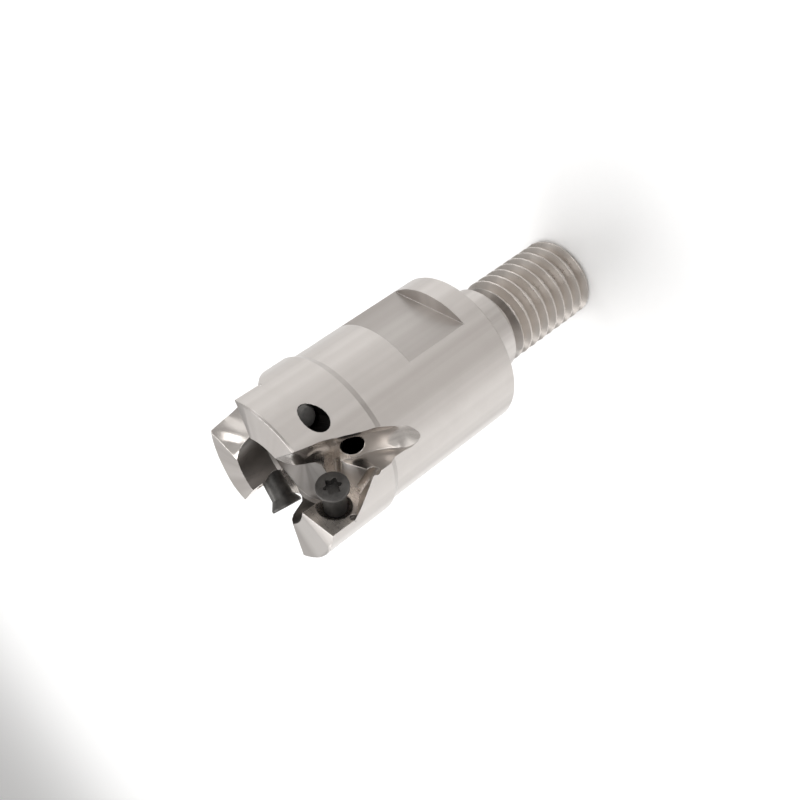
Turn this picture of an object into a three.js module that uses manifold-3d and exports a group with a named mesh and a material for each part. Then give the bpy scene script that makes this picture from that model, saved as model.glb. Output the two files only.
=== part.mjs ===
// Screw-in shoulder-milling head with three indexable-insert pockets.
// Millimetres, +Z up. The head stands on its threaded end: the origin is the
// centre of the thread's end face and +Z runs along the spindle axis to the
// cutting end. The two wrench flats face +Y and -Y.
import * as THREE from 'three';
import { mergeVertices } from 'three/addons/utils/BufferGeometryUtils.js';
import Module from 'manifold-3d';

const wasm = await Module();
wasm.setup();

// ---- driving dimensions (mm, degrees) --------------------------------------
const THREAD_D = 12;            // M12 x 1.75 coupling thread
const PITCH = 1.75;
const THREAD_MINOR_R = 4.95;
const THREAD_END_R = 5.5;       // lead chamfer at the very end
const RELIEF_R = 4.8;           // undercut between thread and pilot
const RELIEF_Z = 14.9;          // undercut starts here
const PILOT_R = 6.25;           // 12.5 mm centring pilot
const PILOT_Z = 16.15;
const SEAT_Z = 22;              // annular seat that stops against the holder
const COLLAR_R = 11.05;         // 22 mm collar
const STEP_Z = 43.55;           // short cone up to the cutting section
const HEAD_Z = 44.5;
const HEAD_R = 11.55;           // body radius under the 25 mm cutting circle
const FRONT_Z = 55.15;
const FLAT_HALF = 9.0;          // 18 mm across the wrench flats
const FLAT_Z0 = 25.5;
const FLAT_Z1 = 35.3;
const RECESS_R = 6.35;          // round recess in the cutting end
const RECESS_FLOOR_Z = 50.3;
const BORE_R = 3.2;             // coolant bore from the threaded end
const BORE_TOP_Z = 44.2;
const OUTLET_R = 1.5;           // coolant outlet in each flute
const TEETH = 3;
const TOOTH_AZ = -10.8;         // azimuth of the first pocket floor
const SCREW_R = 1.5;            // M3 insert screw
const SCREW_HEAD_R = 2.1;
const SCREW_TIP = -3.7;         // below the pocket floor along the screw axis
const SCREW_GAP = 0.05;         // radial running clearance in the hole

// ---- helpers ----------------------------------------------------------------
const rad = (d) => (d * Math.PI) / 180;

function solid(geometry) {
  const g = geometry.clone();
  for (const k of Object.keys(g.attributes)) if (k !== 'position') g.deleteAttribute(k);
  const m = mergeVertices(g, 1e-5);
  const pos = m.attributes.position.array;
  const src = m.index.array;
  const tri = [];
  let vol = 0;
  const p = (i, k) => pos[3 * i + k];
  for (let i = 0; i < src.length; i += 3) {
    const [a, b, c] = [src[i], src[i + 1], src[i + 2]];
    if (a === b || b === c || c === a) continue;
    tri.push(a, b, c);
    vol += p(a, 0) * (p(b, 1) * p(c, 2) - p(b, 2) * p(c, 1))
      - p(a, 1) * (p(b, 0) * p(c, 2) - p(b, 2) * p(c, 0))
      + p(a, 2) * (p(b, 0) * p(c, 1) - p(b, 1) * p(c, 0));
  }
  if (vol < 0) for (let i = 0; i < tri.length; i += 3) [tri[i + 1], tri[i + 2]] = [tri[i + 2], tri[i + 1]];
  return new wasm.Manifold(new wasm.Mesh({
    numProp: 3,
    vertProperties: new Float32Array(pos),
    triVerts: new Uint32Array(tri),
  }));
}

function geometryOf(manifold) {
  const m = manifold.getMesh();
  const g = new THREE.BufferGeometry();
  const v = new Float32Array(m.vertProperties.length);
  v.set(m.vertProperties);
  g.setAttribute('position', new THREE.BufferAttribute(v, 3));
  g.setIndex(new THREE.BufferAttribute(Uint32Array.from(m.triVerts), 1));
  g.computeVertexNormals();
  return g;
}

// Turned solid: [radius, height] profile revolved about Z.
function turned(profile, segments = 72, phase = 0) {
  const g = new THREE.LatheGeometry(profile.map(([r, z]) => new THREE.Vector2(r, z)), segments);
  g.rotateX(Math.PI / 2);
  g.rotateZ(rad(phase));
  return g;
}

function between(g, a, b) {
  // Moves a solid turned about Z so that its axis runs from a to b.
  const d = new THREE.Vector3().subVectors(b, a).normalize();
  g.applyQuaternion(new THREE.Quaternion().setFromUnitVectors(new THREE.Vector3(0, 0, 1), d));
  g.translate(a.x, a.y, a.z);
  return g;
}

// Tooth frame: u runs out along the pocket floor, t stands up from the floor
// in the direction of rotation, z is the spindle axis.
const U = new THREE.Vector3(Math.cos(rad(TOOTH_AZ)), Math.sin(rad(TOOTH_AZ)), 0);
const T = new THREE.Vector3(-U.y, U.x, 0);
const Z = new THREE.Vector3(0, 0, 1);
const TOOTH = new THREE.Matrix4().makeBasis(U, T, Z);
const at = (u, t, z) => new THREE.Vector3(u, t, z).applyMatrix4(TOOTH);

// ---- cutter body: turned blank ----------------------------------------------
let body = solid(turned([
  [0, RELIEF_Z - 0.35], [THREAD_MINOR_R, RELIEF_Z - 0.35], [RELIEF_R, RELIEF_Z],
  [RELIEF_R, PILOT_Z - 0.3], [RELIEF_R + 0.3, PILOT_Z], [PILOT_R - 0.2, PILOT_Z], [PILOT_R, PILOT_Z + 0.2],
  [PILOT_R, SEAT_Z], [COLLAR_R - 0.12, SEAT_Z], [COLLAR_R, SEAT_Z + 0.12], [COLLAR_R, STEP_Z],
  [HEAD_R, HEAD_Z], [HEAD_R, FRONT_Z - 0.22], [HEAD_R - 0.22, FRONT_Z], [RECESS_R, FRONT_Z],
  [RECESS_R, RECESS_FLOOR_Z + 0.4], [RECESS_R - 0.4, RECESS_FLOOR_Z], [0, RECESS_FLOOR_Z - 0.9],
], 72));
body = body.add(solid(turned([[0, 0], [THREAD_MINOR_R, 0], [THREAD_MINOR_R, RELIEF_Z - 0.1], [0, RELIEF_Z - 0.1]], 28)));

// Thread ridge: a trapezium extruded straight, then wound into a right-hand helix.
{
  const crest = PITCH / 16, turns = 9.2, seg = 28;
  const r0 = THREAD_MINOR_R - 0.35, r2 = THREAD_D / 2;
  const half = crest + (r2 - r0) * Math.tan(rad(30));
  const s = new THREE.Shape([
    new THREE.Vector2(r0, -half), new THREE.Vector2(r2, -crest), new THREE.Vector2(r2, crest), new THREE.Vector2(r0, half),
  ]);
  const g = new THREE.ExtrudeGeometry(s, { depth: turns, steps: Math.round(turns * seg), bevelEnabled: false });
  const p = g.attributes.position;
  const Z0 = -0.85, PHASE = 77;
  for (let i = 0; i < p.count; i++) {
    const a = p.getZ(i) * 2 * Math.PI + rad(PHASE);
    p.setXYZ(i, p.getX(i) * Math.cos(a), p.getX(i) * Math.sin(a), p.getY(i) + p.getZ(i) * PITCH + Z0);
  }
  const envelope = solid(turned([
    [0, 0], [THREAD_END_R, 0], [THREAD_D / 2, THREAD_D / 2 - THREAD_END_R], [THREAD_D / 2 + 1, 1.6],
    [THREAD_D / 2 + 1, RELIEF_Z - 0.9], [THREAD_MINOR_R - 0.2, RELIEF_Z + 0.25], [0, RELIEF_Z + 0.25],
  ], 28));
  body = body.add(solid(g).intersect(envelope));
}

// Wrench flats.
for (const s of [1, -1]) {
  const g = new THREE.BoxGeometry(30, 6, FLAT_Z1 - FLAT_Z0);
  g.translate(0, s * (FLAT_HALF + 3), (FLAT_Z0 + FLAT_Z1) / 2);
  body = body.subtract(solid(g));
}

// Coolant bore up from the threaded end.
body = body.subtract(solid(turned([
  [0, -1], [BORE_R + 0.5, -1], [BORE_R + 0.5, 0], [BORE_R, 0.5], [BORE_R, BORE_TOP_Z - 1.2], [0, BORE_TOP_Z],
], 28)));

// ---- one tooth's cutters, in the tooth frame ----------------------------------
// Chip flute, in sections across the spindle axis. Each row is
// [height, foot u, foot t, heel u, heel t, bulge]: the foot is the inner corner
// over the pocket, the heel is the edge with the land behind, and the concave
// wall between them bulges inwards by the last number.
const FLUTE = [
  [38.6, 10.75, 3.72, 10.35, 4.62, 0.05], [39.1, 10.5, 3.62, 10.05, 4.55, 0.1], [39.75, 10.46, 3.42, 9.56, 5.52, 0.3],
  [40.5, 10.3, 3.36, 9.18, 6.1, 0.45], [41.2, 10.1, 3.44, 9.0, 6.4, 0.52], [41.85, 9.62, 3.5, 8.76, 6.72, 0.6],
  [42.9, 8.44, 3.24, 8.4, 7.2, 0.72], [43.8, 7.73, 3.06, 8.2, 7.66, 0.75], [44.8, 7.06, 2.89, 8.12, 8.12, 0.75],
  [45.8, 6.62, 2.78, 7.98, 8.38, 0.75], [46.8, 6.2, 2.68, 7.7, 8.6, 0.75], [47.75, 5.6, 2.53, 7.46, 8.82, 0.75],
  [48.6, 5.42, 3.2, 7.2, 9.02, 0.7], [49.3, 5.34, 3.91, 7.05, 9.16, 0.62], [50.2, 5.3, 4.34, 6.74, 9.38, 0.56],
  [51.30, 4.67, 4.23, 6.41, 9.60, 0.45],
  [52.00, 4.45, 4.46, 6.26, 9.71, 0.35],
  [52.80, 4.19, 4.71, 6.15, 9.77, 0.23],
  [53.60, 3.89, 4.95, 5.97, 9.82, 0.14],
  [54.40, 3.27, 5.38, 5.78, 9.86, 0.07],
  [55.15, 2.00, 5.95, 5.60, 9.90, 0.00],
  [58.00, 1.60, 6.10, 4.90, 10.20, 0.00],
];
const facet = (u) => 2.5 + 0.25 * (u - 5.5);      // flat lower side of the flute
const ARC = 7;

function fluteCutter() {
  const rows = FLUTE.map(([z, fu, ft, hu, ht, bulge]) => {
    const mu = z > 50.5 ? 5.6 : fu + 0.45;
    const row = [[16, facet(16)], [mu, Math.min(facet(mu), ft - 0.02)], [fu, ft]];
    const len = Math.hypot(hu - fu, ht - ft);
    const nu = -(ht - ft) / len, nt = (hu - fu) / len;
    for (let i = 1; i < ARC; i++) {
      const q = i / ARC, b = 4 * q * (1 - q) * bulge;
      row.push([fu + (hu - fu) * q + nu * b, ft + (ht - ft) * q + nt * b]);
    }
    row.push([hu, ht]);
    const r = Math.hypot(hu, ht);
    row.push([hu * (1 + 2.2 / r), ht * (1 + 2.2 / r)], [16, ht + 3]);
    return row.map(([u, t]) => [u, t, z]);
  });
  const n = rows[0].length, pos = rows.flat(2), idx = [];
  for (let k = 0; k < rows.length - 1; k++) {
    for (let i = 0; i < n; i++) {
      const a = k * n + i, b = k * n + ((i + 1) % n);
      idx.push(a, b, b + n, a, b + n, a + n);
    }
  }
  for (const [k, flip] of [[0, true], [rows.length - 1, false]]) {
    const c = pos.length / 3;
    pos.push(12.5, 6.2, rows[k][0][2]);
    for (let i = 0; i < n; i++) {
      const a = k * n + i, b = k * n + ((i + 1) % n);
      if (flip) idx.push(c, b, a); else idx.push(c, a, b);
    }
  }
  const g = new THREE.BufferGeometry();
  g.setAttribute('position', new THREE.Float32BufferAttribute(pos, 3));
  g.setIndex(idx);
  return g;
}

// Pocket, as [u, z at the floor, shift of u and of z for each mm up, top]:
// inner wall, rear wall, slanting outer rear wall, open to the side and front.
const POCKET = [
  [5.75, 57, -0.1, 0, 7.9], [5.75, 49.0, -0.1, 0, 3.8], [5.65, 48.05, 0, -0.05, 2.85],
  [8.5, 47.42, 0.38, -0.13, 4.0], [11.0, 50.62, 0.354, -0.278, 4.5], [13.6, 53.92, 0.354, -0.278, 5.1],
  [15.5, 53.92, 0, 0, 6], [15.5, 57, 0, 0, 7.9],
];
const floorAt = (z) => -0.61 - 0.0344 * (54.86 - z);

function pocketCutter() {
  const shape = new THREE.Shape(POCKET.map(([u, z]) => new THREE.Vector2(u, z)));
  const g = new THREE.ExtrudeGeometry(shape, { depth: 1, steps: 1, bevelEnabled: false });
  const p = g.attributes.position;
  for (let i = 0; i < p.count; i++) {
    const u = p.getX(i), z = p.getY(i);
    const row = POCKET.reduce((m, q) => (Math.hypot(q[0] - u, q[1] - z) < Math.hypot(m[0] - u, m[1] - z) ? q : m));
    const floor = floorAt(z);
    if (p.getZ(i) > 0.5) {
      const rise = row[4] - floor;
      p.setXYZ(i, u + row[2] * rise, row[4], z + row[3] * rise);
    } else p.setXYZ(i, u, floor, z);
  }
  return g;
}

// Slanting front edge of the seat.
function bevelCutter() {
  const h = (u, t) => 55.15 - (0.516 * (u - 6.46) + 1.221 * (t + 1.03)) / 9.494;
  const g = new THREE.BoxGeometry(7.5, 7, 2);
  const p = g.attributes.position;
  for (let i = 0; i < p.count; i++) {
    const u = p.getX(i) + 9.25, t = p.getY(i) - 0.5;
    p.setXYZ(i, u, t, p.getZ(i) > 0 ? 58 : h(u, t));
  }
  return g;
}

const SCREW_FOOT = new THREE.Vector3(8.04, -0.7, 51.3);
const SCREW_AXIS = new THREE.Vector3(0.083, 0.988, 0.129).normalize();
const along = (s) => SCREW_FOOT.clone().addScaledVector(SCREW_AXIS, s);

function toothCutters() {
  const v = (a) => new THREE.Vector3(...a);
  const r = SCREW_R + SCREW_GAP;
  return [
    fluteCutter(),
    pocketCutter(),
    bevelCutter(),
    // relief in the inner rear corner and under the slanting wall's corner
    between(turned([[0, 0], [0.5, 0], [0.5, 4.2], [0, 4.2]], 14), v([5.42, floorAt(48.5), 48.5]), v([5.2, 3, 48.45])),
    between(turned([[0, 0], [0.75, 0], [0.75, 5.6], [0, 5.6]], 18), v([8.5, floorAt(47.35), 47.35]), v([9.95, 3, 46.85])),
    between(turned([[0, 0], [0.45, 0], [0.45, 2], [0, 2]], 12), v([11.05, -1.2, 51.15]), v([11.05, 1, 51.1])),
    // screw hole with a countersunk rim at the floor
    between(turned([[0, -12], [r, -12], [r, -0.75], [2.45, 0.15], [2.45, 1], [0, 1]], 20), SCREW_FOOT, along(1)),
    // coolant outlet
    between(turned([[0, 0], [OUTLET_R, 0], [OUTLET_R, 14], [0, 14]], 20), v([0.45, 0.35, 41.2]), v([6.35, 5.0, 46.7])),
  ];
}

for (let k = 0; k < TEETH; k++) {
  const turn = new THREE.Matrix4().makeRotationZ(rad((360 / TEETH) * k)).multiply(TOOTH);
  for (const g of toothCutters()) {
    const c = g.clone();
    c.applyMatrix4(turn);
    body = body.subtract(solid(c));
  }
}

// ---- insert screws -------------------------------------------------------------
// Turned about its own axis: 0 is where the axis meets the pocket floor. The
// second screw stands driven in, the other two partly backed out.
const DRIVEN = [0, 3.3, 0];
const HEAD_TOP = 4.3, CONE_FOOT = HEAD_TOP - 0.35 - (SCREW_HEAD_R - SCREW_R) / Math.tan(rad(30));
function screw() {
  let s = solid(turned([
    [0, SCREW_TIP], [1.2, SCREW_TIP], [SCREW_R, SCREW_TIP + 0.3], [SCREW_R, CONE_FOOT], [SCREW_HEAD_R, HEAD_TOP - 0.35],
    [SCREW_HEAD_R, HEAD_TOP - 0.08], [SCREW_HEAD_R - 0.08, HEAD_TOP], [0, HEAD_TOP],
  ], 32));
  // six-lobe socket
  const pts = [];
  for (let i = 0; i < 36; i++) {
    const a = (i / 36) * 2 * Math.PI;
    const rr = 1.02 + 0.2 * Math.cos(6 * a);
    pts.push(new THREE.Vector2(rr * Math.cos(a), rr * Math.sin(a)));
  }
  const g = new THREE.ExtrudeGeometry(new THREE.Shape(pts), { depth: 2, bevelEnabled: false });
  g.translate(0, 0, HEAD_TOP - 1.1);
  return geometryOf(s.subtract(solid(g)));
}

// ---- scene graph ------------------------------------------------------------------
const group = new THREE.Group();
const steel = new THREE.MeshStandardMaterial({ color: 0xb9b4ac, roughness: 0.32, metalness: 1 });
const bodyMesh = new THREE.Mesh(geometryOf(body), steel);
bodyMesh.name = 'cutter_body';
group.add(bodyMesh);

const screwGeometry = screw();
for (let k = 0; k < TEETH; k++) {
  const tooth = new THREE.Group();
  tooth.rotation.z = rad(TOOTH_AZ + (360 / TEETH) * k);
  const m = new THREE.Mesh(screwGeometry, new THREE.MeshStandardMaterial({ color: 0x1b1a19, roughness: 0.42, metalness: 0.9 }));
  m.name = `insert_screw_${k + 1}`;
  m.position.copy(along(-DRIVEN[k]));
  m.quaternion.setFromUnitVectors(new THREE.Vector3(0, 0, 1), SCREW_AXIS);
  tooth.add(m);
  group.add(tooth);
}

export default group;
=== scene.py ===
import math

import bmesh
import bpy
import numpy as np
from mathutils import Matrix, Vector


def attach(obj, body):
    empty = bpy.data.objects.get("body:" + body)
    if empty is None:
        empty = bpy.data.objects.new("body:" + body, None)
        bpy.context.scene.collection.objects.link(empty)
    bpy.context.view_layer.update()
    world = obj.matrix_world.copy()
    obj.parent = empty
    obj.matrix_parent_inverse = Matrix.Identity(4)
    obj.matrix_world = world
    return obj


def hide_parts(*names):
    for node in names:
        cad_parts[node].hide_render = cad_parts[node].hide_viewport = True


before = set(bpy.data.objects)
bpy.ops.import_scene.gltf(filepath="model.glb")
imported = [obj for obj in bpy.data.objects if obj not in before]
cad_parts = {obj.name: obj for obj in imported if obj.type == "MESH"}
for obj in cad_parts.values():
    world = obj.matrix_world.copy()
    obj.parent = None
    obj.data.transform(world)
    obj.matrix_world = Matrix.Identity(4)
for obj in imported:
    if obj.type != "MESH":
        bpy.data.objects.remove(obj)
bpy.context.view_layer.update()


scene = bpy.context.scene

# ------------------------------------------------------------------ meshes
# Turned profile of the head (radius, height) in mm: faces lying on it get the
# exact normal of the cone or cylinder they belong to.
PROFILE = [
    (4.8, 14.9), (4.8, 15.85), (5.1, 16.15), (6.05, 16.15), (6.25, 16.35), (6.25, 22.0),
    (10.93, 22.0), (11.05, 22.12), (11.05, 43.55), (11.55, 44.5), (11.55, 54.93), (11.33, 55.15),
    (6.35, 55.15), (6.35, 50.7), (5.95, 50.3), (0.0, 49.4),
]
PITCH = 1.75
THREAD_TOP = 14.6


def welded(node):
    """A welded copy of a CAD node's mesh."""
    bm = bmesh.new()
    bm.from_mesh(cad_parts[node].data)
    bmesh.ops.remove_doubles(bm, verts=bm.verts, dist=2e-6)
    bmesh.ops.dissolve_degenerate(bm, dist=1e-7, edges=bm.edges)
    bmesh.ops.triangulate(bm, faces=bm.faces)
    bm.normal_update()
    mesh = bpy.data.meshes.new(node + "_look")
    bm.to_mesh(mesh)
    bm.free()
    mesh.materials.clear()
    for p in mesh.polygons:
        p.use_smooth = True
    return mesh


def arrays(mesh):
    co = np.zeros(len(mesh.vertices) * 3)
    mesh.vertices.foreach_get("co", co)
    co = co.reshape(-1, 3) * 1000.0
    tri = np.array([p.vertices[:] for p in mesh.polygons])
    a, b, c = co[tri[:, 0]], co[tri[:, 1]], co[tri[:, 2]]
    n = np.cross(b - a, c - a)
    area = np.linalg.norm(n, axis=1)
    n = n / np.maximum(area, 1e-12)[:, None]
    return co, tri, n, area


def smooth_normals(co, tri, n, area, degrees):
    """Corner normals averaged over the neighbours that turn less than the given angle."""
    limit = math.cos(math.radians(degrees))
    around = [[] for _ in range(len(co))]
    for f, t in enumerate(tri):
        for v in t:
            around[v].append(f)
    out = np.zeros((len(tri), 3, 3))
    for f, t in enumerate(tri):
        for k in range(3):
            fs = np.array(around[t[k]])
            near = fs[n[fs] @ n[f] > limit]
            if len(near) == 0:
                near = np.array([f])
            w = np.zeros(len(near))
            for i, g in enumerate(near):
                q = co[tri[g]]
                j = list(tri[g]).index(t[k])
                e1, e2 = q[(j + 1) % 3] - q[j], q[(j + 2) % 3] - q[j]
                d = np.linalg.norm(e1) * np.linalg.norm(e2)
                w[i] = math.acos(max(-1.0, min(1.0, float(e1 @ e2) / max(d, 1e-12))))
            s = (n[near] * w[:, None]).sum(0)
            out[f, k] = s / max(np.linalg.norm(s), 1e-12)
    return out


def turned_normals(co, tri, n, corner):
    """Replaces corner normals on the turned surfaces and on the thread by exact ones."""
    r = np.hypot(co[:, 0], co[:, 1])
    z = co[:, 2]
    rad = np.stack([co[:, 0], co[:, 1], np.zeros(len(co))], 1) / np.maximum(r, 1e-9)[:, None]
    tan = np.stack([-rad[:, 1], rad[:, 0], np.zeros(len(co))], 1)
    cen = co[tri].mean(1)
    cr = np.hypot(cen[:, 0], cen[:, 1])
    crad = np.stack([cen[:, 0], cen[:, 1], np.zeros(len(cen))], 1) / np.maximum(cr, 1e-9)[:, None]
    nr = (n * crad).sum(1)
    turned = np.zeros(len(tri), bool)
    for (r1, z1), (r2, z2) in zip(PROFILE[:-1], PROFILE[1:]):
        length = math.hypot(r2 - r1, z2 - z1)
        d = ((r2 - r1) / length, (z2 - z1) / length)
        m = (d[1], -d[0])                           # outward normal in (r, z)
        dist = (r - r1) * m[0] + (z - z1) * m[1]
        along = (r - r1) * d[0] + (z - z1) * d[1]
        on = (np.abs(dist) < 0.03) & (along > -0.05) & (along < length + 0.05)
        hit = on[tri].all(1) & (np.abs(nr * m[0] + n[:, 2] * m[1]) > 0.985)
        sign = np.sign(nr * m[0] + n[:, 2] * m[1])
        for f in np.nonzero(hit)[0]:
            for k in range(3):
                v = tri[f, k]
                corner[f, k] = sign[f] * (rad[v] * m[0] + np.array([0, 0, m[1]]))
        turned |= hit
    thread = (cen[:, 2] < THREAD_TOP) & (cen[:, 2] > 0.05) & (cr > 4.7) & ~turned
    for f in np.nonzero(thread)[0]:
        for k in range(3):
            v = tri[f, k]
            if abs(n[f, 2]) > 0.55:
                s = 1.0 if n[f, 2] > 0 else -1.0
                q = rad[v] * math.tan(math.radians(30)) - s * tan[v] * PITCH / (2 * math.pi * r[v]) + np.array([0, 0, s])
                q /= np.linalg.norm(q)
                if q @ n[f] > 0.93:
                    corner[f, k] = q
            elif abs(n[f, 2]) < 0.12 and nr[f] > 0.9:
                corner[f, k] = rad[v]
    return turned, thread


TOOTH_AZ = -10.8


def tooth_frame(p, k):
    a = math.radians(TOOTH_AZ + 120 * k)
    return np.stack([p[:, 0] * math.cos(a) + p[:, 1] * math.sin(a), -p[:, 0] * math.sin(a) + p[:, 1] * math.cos(a), p[:, 2]], 1)


def body_mesh():
    mesh = welded("cutter_body")
    co, tri, n, area = arrays(mesh)
    corner = smooth_normals(co, tri, n, area, 25)
    turned, thread = turned_normals(co, tri, n, corner)
    # zones: red = painted shade for the holes, coolant outlet, centre bore, recess and nick; green = thread; blue =
    # painted shade for the flute facet, recess, step ring and flats (none on the flute itself); alpha = 1 minus polish,
    # 0 on the pocket walls and 0.45 on the flute
    cen = co[tri].mean(1)
    cr = np.hypot(cen[:, 0], cen[:, 1])
    zone = np.zeros((len(tri), 4))
    zone[:, 3] = 1
    mirror = np.zeros(len(tri))
    zone[:, 1] = thread | (turned & (cen[:, 2] < 16))
    for k in range(3):
        q = tooth_frame(cen, k)
        m = tooth_frame(n, k)
        inside = (q[:, 2] > 38) & (q[:, 0] > 2.0) & ~turned & (m[:, 2] < 0.97)
        pocket = inside & (q[:, 1] > -1.3) & (q[:, 1] < 2.45 + 0.25 * (q[:, 0] - 5.5)) & (q[:, 2] > 46.0)
        wall = inside & (q[:, 1] < 6.0) & (q[:, 0] < 5.9) & (q[:, 0] > 4.9) & (q[:, 2] > 47.2) & (m[:, 0] > 0.7)
        flute = inside & (q[:, 1] >= 2.4) & (q[:, 1] < 10.2) & (q[:, 0] > 2) & (cr < 11.5) & ~pocket & ~wall
        zone[pocket | wall, 3] = 0
        zone[flute, 2] = 0.0
        zone[flute, 3] = 0.45
        # a small nick at the pocket's outer corner gets painted shade (red 0.7)
        nick = (np.hypot(q[:, 0] - 11.05, q[:, 2] - 51.12) < 0.5) & (q[:, 1] < -0.5) & (q[:, 1] > -1.4)
        zone[nick, 0] = 0.7
        mirror[flute] = 1
        facet = flute & (m[:, 1] > 0.85)
        zone[facet, 3] = 1
        # painted shade on the flute facet (blue 0.3)
        zone[facet, 2] = 0.3
        mirror[facet] = 0
        # screw hole and coolant outlet: distance from their axes; they get full painted shade (red 1)
        for foot, axis, radius, low, high in (
            ((8.04, -0.7, 51.3), (0.083, 0.988, 0.129), 1.75, -20.0, -0.6),
            ((0.45, 0.35, 41.2), (5.9, 4.65, 5.5), 1.62, 0.0, 8.3),
        ):
            axis = np.array(axis) / np.linalg.norm(axis)
            d = q - np.array(foot)
            s = d @ axis
            off = np.linalg.norm(d - s[:, None] * axis, axis=1)
            hole = (off < radius) & (s > low) & (s < high) & (np.abs(m @ axis) < 0.3)
            zone[hole, 0] = 1
    # painted shade down the centre bore (red 1)
    zone[(cr < 3.9) & (cen[:, 2] < 48) & ~thread, 0] = 1
    # painted shade in the front recess (blue 0.75, red 0.3)
    recess = turned & (cr < 6.4) & (cen[:, 2] > 48.5) & (cen[:, 2] < 55.0)
    zone[recess, 2] = 0.75
    zone[recess, 0] = 0.3
    # painted dark reflection on the step ring's cone (blue 0.5)
    step = turned & (cen[:, 2] > 43.5) & (cen[:, 2] < 44.55) & (cr > 10.9)
    zone[step, 2] = 0.5
    # painted shade on the wrench flats (blue 0.62)
    flats = (np.abs(n[:, 1]) > 0.999) & (np.abs(np.abs(cen[:, 1]) - 9.0) < 0.02) & (cen[:, 2] < 36)
    zone[flats, 2] = 0.62
    layer = mesh.color_attributes.new("zone", "FLOAT_COLOR", "CORNER")
    layer.data.foreach_set("color", np.repeat(zone, 3, axis=0).ravel())
    mirror[thread] = 0.35
    polished = mesh.attributes.new("polished", "FLOAT", "CORNER")
    polished.data.foreach_set("value", np.repeat(mirror, 3).astype(np.float32))
    mesh.normals_split_custom_set([tuple(v) for v in corner.reshape(-1, 3)])
    return mesh


def screw_mesh(node):
    mesh = welded(node)
    co, tri, n, area = arrays(mesh)
    corner = smooth_normals(co, tri, n, area, 30)
    mesh.normals_split_custom_set([tuple(v) for v in corner.reshape(-1, 3)])
    return mesh


# --------------------------------------------------------------- materials
class Nodes:
    def __init__(self, material):
        material.use_nodes = True
        self.tree = material.node_tree
        self.tree.nodes.clear()

    def add(self, kind, **values):
        node = self.tree.nodes.new("ShaderNode" + kind)
        for key, value in values.items():
            if hasattr(node, key):
                setattr(node, key, value)
            else:
                node.inputs[key.replace("_", " ")].default_value = value
        return node

    def link(self, a, b):
        self.tree.links.new(a, b)

    def math(self, operation, a, b=None, clamp=False):
        node = self.add("Math", operation=operation, use_clamp=clamp)
        for i, value in enumerate((a, b)):
            if value is None:
                continue
            if isinstance(value, (int, float)):
                node.inputs[i].default_value = value
            else:
                self.link(value, node.inputs[i])
        return node.outputs[0]

    def ramp(self, source, stops):
        node = self.add("ValToRGB")
        while len(node.color_ramp.elements) < len(stops):
            node.color_ramp.elements.new(0.5)
        for element, (at, value) in zip(node.color_ramp.elements, stops):
            element.position = at
            element.color = value if isinstance(value, tuple) else (value, value, value, 1)
        self.link(source, node.inputs[0])
        return node.outputs[0]

    def mix(self, factor, a, b):
        node = self.add("Mix", data_type="RGBA")
        for socket, value in ((node.inputs[0], factor), (node.inputs[6], a), (node.inputs[7], b)):
            if isinstance(value, (int, float)):
                socket.default_value = value
            elif isinstance(value, tuple):
                socket.default_value = value
            else:
                self.link(value, socket)
        return node.outputs[2]


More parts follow.
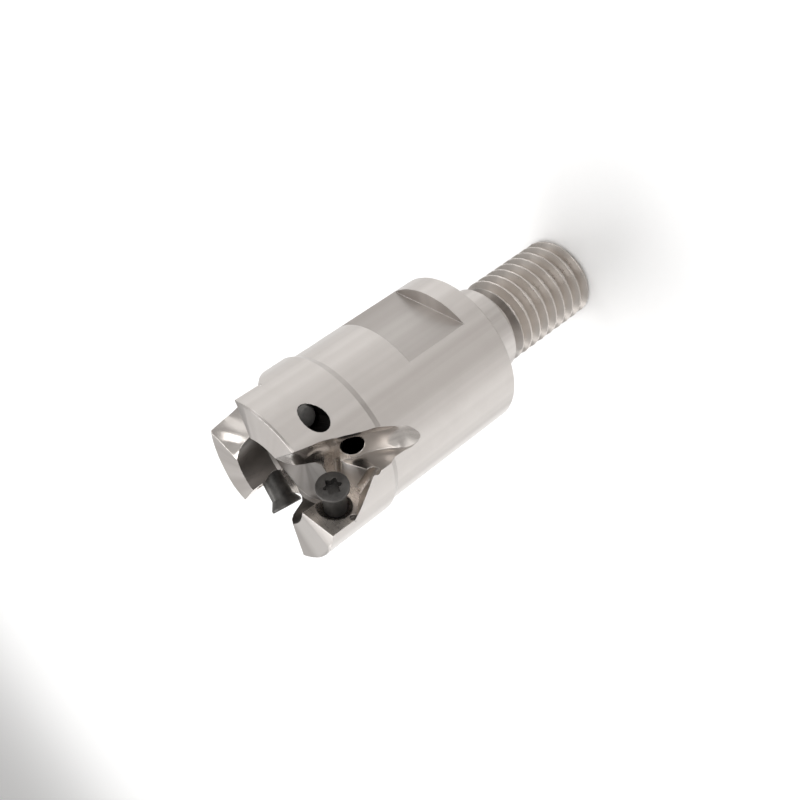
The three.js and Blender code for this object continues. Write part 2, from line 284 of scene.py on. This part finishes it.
def steel():
    m = bpy.data.materials.new("nickel_steel")
    g = Nodes(m)
    out = g.add("OutputMaterial")
    bsdf = g.add("BsdfPrincipled")
    g.link(bsdf.outputs[0], out.inputs[0])
    bsdf.inputs["Metallic"].default_value = 1.0
    bsdf.inputs["Anisotropic"].default_value = 0.55
    bsdf.inputs["Anisotropic Rotation"].default_value = 0.25
    tangent = g.add("Tangent", direction_type="RADIAL", axis="Z")
    g.link(tangent.outputs[0], bsdf.inputs["Tangent"])

    coords = g.add("TexCoord").outputs["Object"]
    split = g.add("SeparateXYZ")
    g.link(coords, split.inputs[0])
    flat = g.add("CombineXYZ")
    g.link(split.outputs[0], flat.inputs[0])
    g.link(split.outputs[1], flat.inputs[1])
    unit = g.add("VectorMath", operation="NORMALIZE")
    g.link(flat.outputs[0], unit.inputs[0])
    usplit = g.add("SeparateXYZ")
    g.link(unit.outputs[0], usplit.inputs[0])

    def around(scale_around, scale_along):
        c = g.add("CombineXYZ")
        g.link(g.math("MULTIPLY", usplit.outputs[0], scale_around), c.inputs[0])
        g.link(g.math("MULTIPLY", usplit.outputs[1], scale_around), c.inputs[1])
        g.link(g.math("MULTIPLY", split.outputs[2], scale_along), c.inputs[2])
        return c.outputs[0]

    # noise for the painted reflection bands along the axis; the broad one also varies the roughness
    painted_reflection_band = g.add("TexNoise", Scale=1.0, Detail=2.5, Roughness=0.45)
    g.link(around(1.7, 2.0), painted_reflection_band.inputs["Vector"])
    fine_painted_band = g.add("TexNoise", Scale=1.0, Detail=3.0, Roughness=0.6)
    g.link(around(7.0, 9.0), fine_painted_band.inputs["Vector"])
    rings = g.add("TexNoise", Scale=1.0, Detail=3.0, Roughness=0.7)
    g.link(around(0.35, 9000.0), rings.inputs["Vector"])
    blotch = g.add("TexNoise", Scale=260.0, Detail=5.0, Roughness=0.6)
    g.link(coords, blotch.inputs["Vector"])
    grain = g.add("TexNoise", Scale=2600.0, Detail=2.0, Roughness=0.6)
    g.link(coords, grain.inputs["Vector"])

    zone = g.add("Attribute", attribute_name="zone")
    zsplit = g.add("SeparateColor")
    g.link(zone.outputs["Color"], zsplit.inputs[0])
    # the red output (pocket) and the blue output (flute) carry painted shade amounts
    pocket, thread, flute = zsplit.outputs

    # edge mask from rounded against plain normals
    bevel = g.add("Bevel", samples=4)
    bevel.inputs["Radius"].default_value = 0.00014
    geometry = g.add("NewGeometry")
    dot = g.add("VectorMath", operation="DOT_PRODUCT")
    g.link(bevel.outputs[0], dot.inputs[0])
    g.link(geometry.outputs["Normal"], dot.inputs[1])
    edge = g.ramp(g.math("SUBTRACT", 1.0, dot.outputs["Value"]), [(0.02, 0.0), (0.2, 1.0)])
    edge_wear_and_highlight = g.math("MULTIPLY", edge, g.ramp(blotch.outputs[0], [(0.35, 0.2), (0.65, 1.0)]), clamp=True)

    # painted reflection: broad light and dark bands along the axis, with fine lighter streaks on top
    tone = g.mix(g.ramp(painted_reflection_band.outputs[0], [(0.36, 0.0), (0.64, 1.0)]), (0.37, 0.342, 0.322, 1), (0.60, 0.57, 0.546, 1))
    tone = g.mix(g.math("MULTIPLY", g.ramp(fine_painted_band.outputs[0], [(0.42, 0.0), (0.78, 1.0)]), 0.13), tone, (0.68, 0.65, 0.63, 1))
    tone = g.mix(g.math("MULTIPLY", g.ramp(blotch.outputs[0], [(0.5, 0.0), (0.8, 1.0)]), 0.12), tone, (0.30, 0.272, 0.25, 1))
    # painted shade: blue darkens the flute facet, recess, step ring and flats
    tone = g.mix(g.math("MULTIPLY", flute, 0.75), tone, (0.26, 0.24, 0.225, 1))
    polish = g.math("SUBTRACT", 1.0, zone.outputs["Alpha"])
    tone = g.mix(g.math("MULTIPLY", polish, 0.75), tone, (0.80, 0.745, 0.695, 1))
    tone = g.mix(g.math("MULTIPLY", thread, 0.62), tone, (0.60, 0.55, 0.505, 1))
    # painted shade: red turns the holes, centre bore, recess and nick nearly black
    tone = g.mix(g.math("MULTIPLY", pocket, 0.97), tone, (0.012, 0.011, 0.0105, 1))
    # lighter edges: partly wear, partly a painted edge highlight
    tone = g.mix(g.math("MULTIPLY", edge_wear_and_highlight, 0.6), tone, (0.72, 0.695, 0.67, 1))
    g.link(tone, bsdf.inputs["Base Color"])

    rough = g.math("ADD", 0.20, g.math("MULTIPLY", painted_reflection_band.outputs[0], 0.12))
    rough = g.math("ADD", rough, g.math("MULTIPLY", rings.outputs[0], 0.10))
    rough = g.math("ADD", rough, g.math("MULTIPLY", grain.outputs[0], 0.05))
    mirror = g.add("Attribute", attribute_name="polished").outputs["Fac"]
    rough = g.math("SUBTRACT", rough, g.math("MULTIPLY", polish, 0.06))
    rough = g.math("SUBTRACT", rough, g.math("MULTIPLY", mirror, 0.10))
    rough = g.math("SUBTRACT", rough, g.math("MULTIPLY", edge_wear_and_highlight, 0.06), clamp=True)
    g.link(rough, bsdf.inputs["Roughness"])

    height = g.math("ADD", g.math("MULTIPLY", rings.outputs[0], 0.7), g.math("MULTIPLY", grain.outputs[0], 0.3))
    bump = g.add("Bump", Distance=0.00003)
    calm = g.math("MAXIMUM", polish, thread)
    g.link(g.math("SUBTRACT", 0.10, g.math("MULTIPLY", calm, 0.085)), bump.inputs["Strength"])
    g.link(height, bump.inputs["Height"])
    g.link(bevel.outputs[0], bump.inputs["Normal"])
    g.link(bump.outputs[0], bsdf.inputs["Normal"])
    return m


def black_oxide():
    m = bpy.data.materials.new("black_oxide")
    g = Nodes(m)
    out = g.add("OutputMaterial")
    bsdf = g.add("BsdfPrincipled")
    g.link(bsdf.outputs[0], out.inputs[0])
    bsdf.inputs["Metallic"].default_value = 0.7
    coords = g.add("TexCoord").outputs["Object"]
    blotch = g.add("TexNoise", Scale=700.0, Detail=5.0, Roughness=0.6)
    g.link(coords, blotch.inputs["Vector"])
    grain = g.add("TexNoise", Scale=5200.0, Detail=3.0, Roughness=0.65)
    g.link(coords, grain.inputs["Vector"])
    bevel = g.add("Bevel", samples=4)
    bevel.inputs["Radius"].default_value = 0.0001
    geometry = g.add("NewGeometry")
    dot = g.add("VectorMath", operation="DOT_PRODUCT")
    g.link(bevel.outputs[0], dot.inputs[0])
    g.link(geometry.outputs["Normal"], dot.inputs[1])
    edge = g.ramp(g.math("SUBTRACT", 1.0, dot.outputs["Value"]), [(0.03, 0.0), (0.25, 1.0)])
    edge_wear_and_highlight = g.math("MULTIPLY", edge, g.ramp(blotch.outputs[0], [(0.4, 0.1), (0.7, 1.0)]), clamp=True)
    tone = g.mix(g.ramp(blotch.outputs[0], [(0.3, 0.0), (0.7, 1.0)]), (0.050, 0.048, 0.046, 1), (0.11, 0.105, 0.10, 1))
    # lighter edges: rubbed oxide, partly a painted edge highlight
    tone = g.mix(g.math("MULTIPLY", edge_wear_and_highlight, 0.45), tone, (0.30, 0.28, 0.26, 1))
    g.link(tone, bsdf.inputs["Base Color"])
    g.link(g.math("ADD", 0.30, g.math("MULTIPLY", blotch.outputs[0], 0.22)), bsdf.inputs["Roughness"])
    bump = g.add("Bump", Strength=0.12, Distance=0.00002)
    g.link(grain.outputs[0], bump.inputs["Height"])
    g.link(bevel.outputs[0], bump.inputs["Normal"])
    g.link(bump.outputs[0], bsdf.inputs["Normal"])
    return m


def paper():
    m = bpy.data.materials.new("studio_paper")
    g = Nodes(m)
    out = g.add("OutputMaterial")
    bsdf = g.add("BsdfPrincipled")
    g.link(bsdf.outputs[0], out.inputs[0])
    coords = g.add("TexCoord").outputs["Object"]
    fibre = g.add("TexNoise", Scale=900.0, Detail=3.0)
    g.link(coords, fibre.inputs["Vector"])
    g.link(g.mix(fibre.outputs[0], (0.93, 0.93, 0.93, 1), (0.95, 0.95, 0.95, 1)), bsdf.inputs["Base Color"])
    bsdf.inputs["Roughness"].default_value = 0.9
    return m


# ------------------------------------------------------------------ pieces
def piece(name, mesh, material, body, node):
    mesh.materials.append(material)
    obj = bpy.data.objects.new(name, mesh)
    scene.collection.objects.link(obj)
    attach(obj, body)
    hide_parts(node)
    return obj


piece("cutter_body_finished", body_mesh(), steel(), "head", "cutter_body")
oxide = black_oxide()
for k in (1, 2, 3):
    piece(f"insert_screw_{k}_finished", screw_mesh(f"insert_screw_{k}"), oxide, f"screw_{k}", f"insert_screw_{k}")

# ------------------------------------------------------------------- stage
bm = bmesh.new()
bmesh.ops.create_grid(bm, x_segments=8, y_segments=8, size=6.0)
ground = bpy.data.meshes.new("floor")
bm.to_mesh(ground)
bm.free()
ground.materials.append(paper())
floor = bpy.data.objects.new("floor", ground)
scene.collection.objects.link(floor)

world = bpy.data.worlds.new("studio")
scene.world = world
world.use_nodes = True
w = world.node_tree
background = w.nodes["Background"]
background.inputs[1].default_value = 0.66
ray = w.nodes.new("ShaderNodeTexCoord").outputs["Generated"]
bands = w.nodes.new("ShaderNodeTexNoise")
bands.inputs["Scale"].default_value = 1.0
bands.inputs["Detail"].default_value = 2.0
squash = w.nodes.new("ShaderNodeVectorMath")
squash.operation = "MULTIPLY"
squash.inputs[1].default_value = (2.2, 2.2, 0.25)
w.links.new(ray, squash.inputs[0])
w.links.new(squash.outputs[0], bands.inputs["Vector"])
tones = w.nodes.new("ShaderNodeValToRGB")
tones.color_ramp.elements[0].position = 0.38
tones.color_ramp.elements[0].color = (0.62, 0.61, 0.60, 1)
tones.color_ramp.elements[1].position = 0.62
tones.color_ramp.elements[1].color = (1.0, 0.995, 0.985, 1)
w.links.new(bands.outputs[0], tones.inputs[0])
w.links.new(tones.outputs[0], background.inputs[0])


def softbox(name, azimuth, elevation, distance, size, energy, aim=(0, 0, 0.03)):
    a, e = math.radians(azimuth), math.radians(elevation)
    place = Vector((math.cos(a) * math.cos(e), math.sin(a) * math.cos(e), math.sin(e))) * distance + Vector(aim)
    light = bpy.data.lights.new(name, "AREA")
    light.shape = "RECTANGLE"
    light.size, light.size_y = size
    light.energy = energy
    obj = bpy.data.objects.new(name, light)
    scene.collection.objects.link(obj)
    obj.location = place
    obj.rotation_euler = (Vector(aim) - place).to_track_quat("-Z", "Y").to_euler()
    return obj


softbox("key", 222, 64, 0.9, (0.7, 0.5), 5.0)
softbox("back", 225, 33, 0.8, (0.7, 0.22), 0.30)
softbox("side_low", -80, 16, 0.6, (0.30, 0.16), 0.35)
softbox("side_left", 128, 26, 0.7, (0.22, 0.34), 0.7)
softbox("front_fill", 40, 48, 0.8, (0.45, 0.45), 2.2)

data = bpy.data.cameras.new("camera")
data.sensor_width = 36
data.lens = 51.75
data.clip_start = 0.001
data.clip_end = 50
camera = bpy.data.objects.new("camera", data)
scene.collection.objects.link(camera)
right = Vector((0.68806, -0.13087, -0.71375))
down = Vector((0.38181, -0.77115, 0.50946))
ahead = Vector((-0.61708, -0.62305, -0.48063))
camera.matrix_world = Matrix([
    [right.x, -down.x, -ahead.x, 0.09468],
    [right.y, -down.y, -ahead.y, 0.09370],
    [right.z, -down.z, -ahead.z, 0.10648],
    [0, 0, 0, 1],
])
scene.camera = camera
scene.view_settings.view_transform = "Standard"
scene.view_settings.look = "None"
